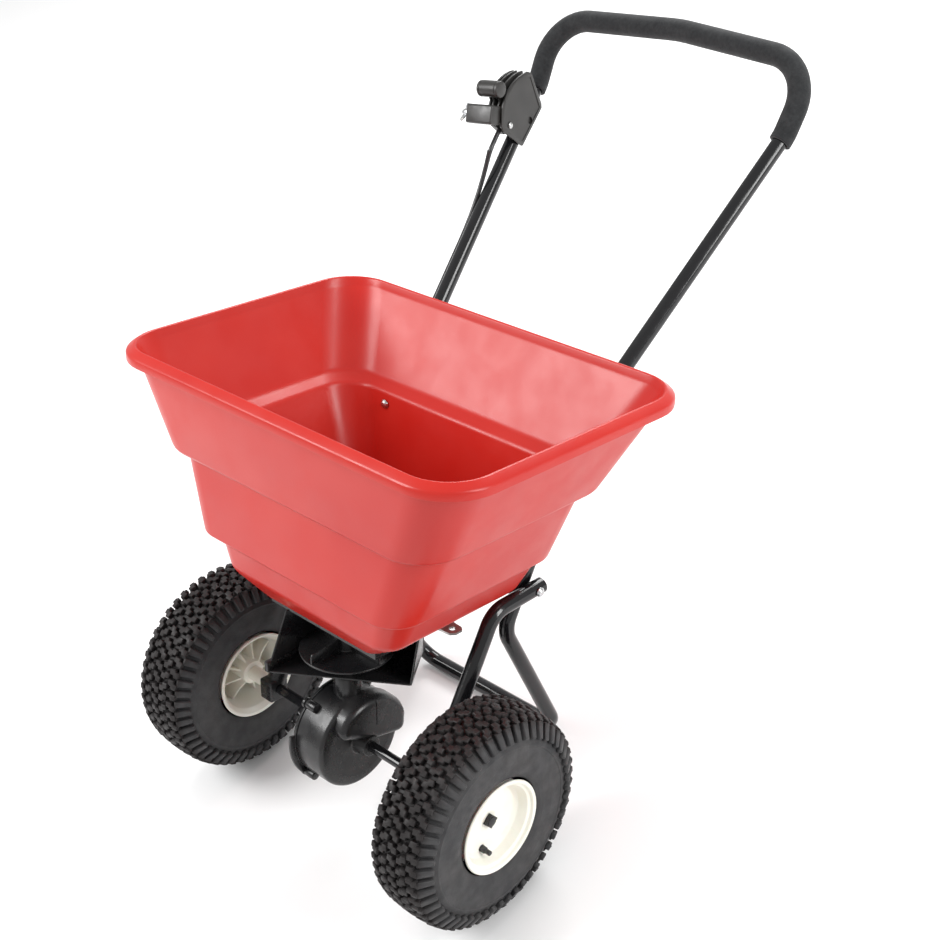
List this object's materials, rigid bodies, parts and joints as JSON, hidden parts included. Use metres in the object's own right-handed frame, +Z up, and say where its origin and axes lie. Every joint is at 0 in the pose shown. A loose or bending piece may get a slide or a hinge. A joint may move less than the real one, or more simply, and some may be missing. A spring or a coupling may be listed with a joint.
{
  "type": "garden spreader",
  "caption": "Walk-behind broadcast spreader: red hopper over an axle-driven impeller, two pneumatic wheels, tube stand and handle with a lever that opens the drop gate by cable.",
  "frame": {"origin": "on the ground, below the middle of the whole machine's box, standing on its tyres and stand bar", "axes": "+X to the operator's left as they push, +Y from the axle towards the handle, +Z up"},
  "size_m": [0.551, 0.8978, 0.7072],
  "materials": {
    "hopper_red": "moulded, soft gloss",
    "rim_cream": "moulded, satin",
    "tyre_rubber": "block tread, matt sidewall",
    "valve_rubber": "smooth",
    "grip_foam": "closed cell foam, matt",
    "black_paint": "gloss powder coat",
    "gate_steel": "flat plate",
    "black_plastic": "moulded, fine texture",
    "control_plastic": "moulded, satin",
    "cable_black": "extruded casing",
    "bare_steel": "machined",
    "zinc": "zinc plated"
  },
  "bodies": {
    "frame": {"hopper": "hopper_red", "base_plate": "black_plastic", "base_screw_1": "zinc", "base_screw_2": "zinc", "deflector": "black_plastic", "gearbox_case": "black_plastic", "gearbox_cover": "black_plastic", "gearbox_screw_1": "zinc", "gearbox_screw_2": "zinc", "gearbox_screw_3": "zinc", "gearbox_screw_4": "zinc", "stand_frame": "black_paint", "handle": "black_paint", "foam_grip": "grip_foam", "cable_casing": "cable_black", "console_body": "control_plastic", "console_plate": "control_plastic", "console_screw": "zinc", "axle_spacer_left": "zinc", "axle_block_left": "black_plastic", "strut_left": "black_paint", "strut_bolt_left": "zinc", "strut_nut_left": "zinc", "hopper_bolt_left": "zinc", "hopper_spacer_left": "black_plastic", "hopper_nut_left": "zinc", "coupler_left": "bare_steel", "axle_spacer_right": "zinc", "axle_block_right": "black_plastic", "strut_right": "black_paint", "strut_bolt_right": "zinc", "strut_nut_right": "zinc", "hopper_bolt_right": "zinc", "hopper_spacer_right": "black_plastic", "hopper_nut_right": "zinc", "coupler_right": "bare_steel"},
    "drive_axle": {"axle": "black_paint", "crown_gear": "bare_steel", "drive_pin": "zinc", "rim_left": "rim_cream", "tyre_left": "tyre_rubber", "valve_left": "valve_rubber", "axle_nut_left": "zinc", "axle_nut_right": "zinc"},
    "free_wheel": {"rim_right": "rim_cream", "tyre_right": "tyre_rubber", "valve_right": "valve_rubber"},
    "spinner": {"impeller_shaft": "bare_steel", "impeller": "black_plastic", "agitator": "bare_steel", "pinion": "bare_steel"},
    "gate": {"slide_plate": "gate_steel", "pull_wire": "bare_steel"},
    "lever": {"control_lever": "control_plastic", "lever_knob": "control_plastic"},
    "stop": {"stop_block": "control_plastic", "stop_nut": "zinc"}
  },
  "joints": [
    {"name": "axle_spin", "type": "hinge", "parent": "frame", "child": "drive_axle", "pos_m": [0, -0.3179, 0.131], "axis": [1, 0, 0], "continuous": true},
    {"name": "free_wheel_spin", "type": "hinge", "parent": "frame", "child": "free_wheel", "pos_m": [0, -0.3179, 0.131], "axis": [1, 0, 0], "continuous": true},
    {"name": "impeller_spin", "type": "hinge", "parent": "frame", "child": "spinner", "pos_m": [0, -0.30629, 0.16928], "axis": [0, 0.2902, 0.957], "continuous": true},
    {"name": "lever_turn", "type": "hinge", "parent": "frame", "child": "lever", "pos_m": [-0.18281, 0.32285, 0.59389], "axis": [0.9921, 0.1083, 0.0641], "range_deg": [-25.8, 0]},
    {"name": "gate_slide", "type": "slide", "parent": "frame", "child": "gate", "axis": [0, 0.957, -0.2902], "range_m": [-0.026, 0]},
    {"name": "stop_shift", "type": "hinge", "parent": "frame", "child": "stop", "pos_m": [-0.18281, 0.32285, 0.59389], "axis": [0.9921, 0.1083, 0.0641], "range_deg": [-5, 8]}
  ],
  "couplings": [
    {"joint": "impeller_spin", "follows": "axle_spin", "ratio": 4},
    {"joint": "gate_slide", "follows": "lever_turn", "m_per_rad": 0.0577}
  ]
}
